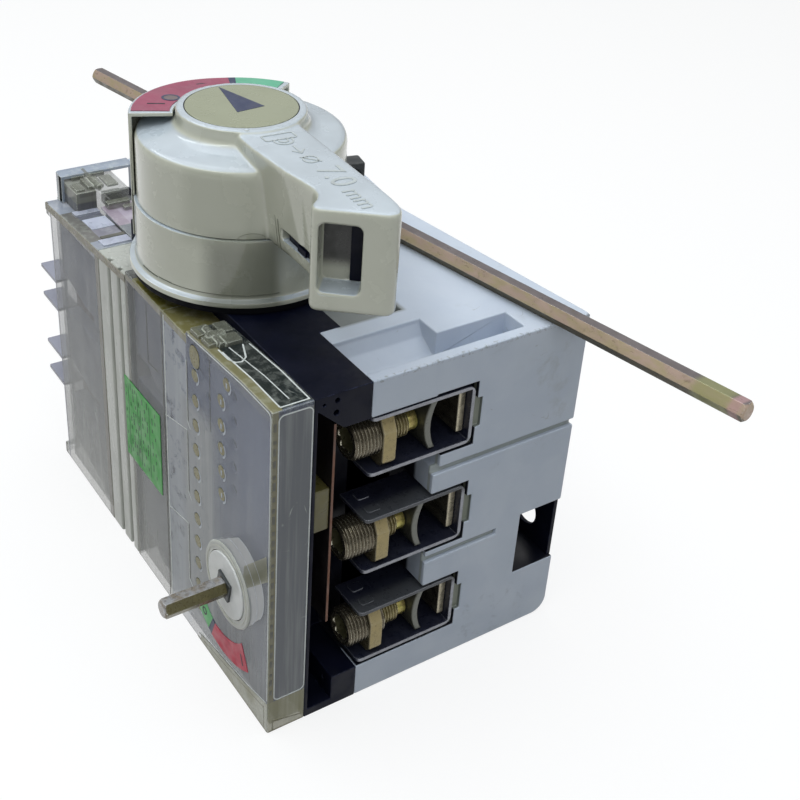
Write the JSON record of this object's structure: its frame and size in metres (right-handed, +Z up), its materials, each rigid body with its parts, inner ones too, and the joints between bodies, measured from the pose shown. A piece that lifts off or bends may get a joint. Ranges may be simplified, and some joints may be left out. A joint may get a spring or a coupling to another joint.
{
  "type": "three-pole fused switch-disconnector with rotary handle",
  "caption": "Box-shaped fused switch lying on its side, with clear covers, box clamps, a rotary lever handle standing on top and a loose hexagonal shaft.",
  "frame": {"origin": "middle of the side face that the switch rests on", "axes": "+X towards the near terminal end, -Y towards the clear front covers, +Z up along the row of poles"},
  "size_m": [0.5096, 0.2245, 0.2884],
  "materials": {
    "housing": "satin moulded",
    "cream_moulding": "glossy moulded",
    "dark_moulding": "satin moulded",
    "brown_sheet": "pressed sheet",
    "amber_plastic": "moulded",
    "clear_cover": "clear moulded",
    "grey_plate": "satin",
    "green_label": "printed",
    "red_label": "printed",
    "navy_print": "printed",
    "frame_steel": "stamped",
    "zinc_steel": "yellow zinc plated",
    "tinned_copper": "tinned",
    "white_plastic": "satin",
    "gasket_rubber": "moulded",
    "dark_grey_plastic": "satin",
    "olive_cap": "printed film"
  },
  "bodies": {
    "switch": {"base_housing": "housing", "mounting_plates": "dark_moulding", "arc_chamber": "dark_moulding", "insulating_sheet": "brown_sheet", "interlock_slide": "amber_plastic", "shaft_cover": "clear_cover", "shaft_plate": "grey_plate", "fuse_cover": "clear_cover", "fuse_carriers": "grey_plate", "centre_rib": "cream_moulding", "end_cover": "clear_cover", "fuse_doors": "grey_plate", "terminal_shroud": "clear_cover", "terminal_guard": "clear_cover", "phase_barriers": "clear_cover", "rating_label": "green_label", "indicator_green": "green_label", "indicator_red": "red_label", "indicator_divider": "navy_print", "terminal_frames": "frame_steel", "terminal_bushes": "zinc_steel", "terminal_nuts": "zinc_steel", "clamp_screws": "zinc_steel", "pressure_plates": "frame_steel", "terminal_tongues": "tinned_copper", "extension_shaft": "zinc_steel", "handle_gasket": "gasket_rubber", "handle_ring": "cream_moulding", "position_bracket": "cream_moulding", "plate_red": "red_label", "plate_green": "green_label", "plate_divider": "navy_print", "padlock_hasp": "dark_grey_plastic"},
    "handle": {"handle_knob": "cream_moulding", "cap_disc": "olive_cap", "cap_pointer": "navy_print", "padlock_slide": "dark_moulding"},
    "shaft": {"rotor_disc": "white_plastic", "stub_shaft": "zinc_steel"}
  },
  "joints": [
    {"name": "handle_turn", "type": "hinge", "parent": "switch", "child": "handle", "pos_m": [0.0079, -0.0382, 0.24], "axis": [0, 0, 1], "range_deg": [-45, 45]},
    {"name": "shaft_turn", "type": "hinge", "parent": "switch", "child": "shaft", "pos_m": [0.095, -0.0915, 0.068], "axis": [0, 1, 0], "range_deg": [-90, 0]}
  ]
}
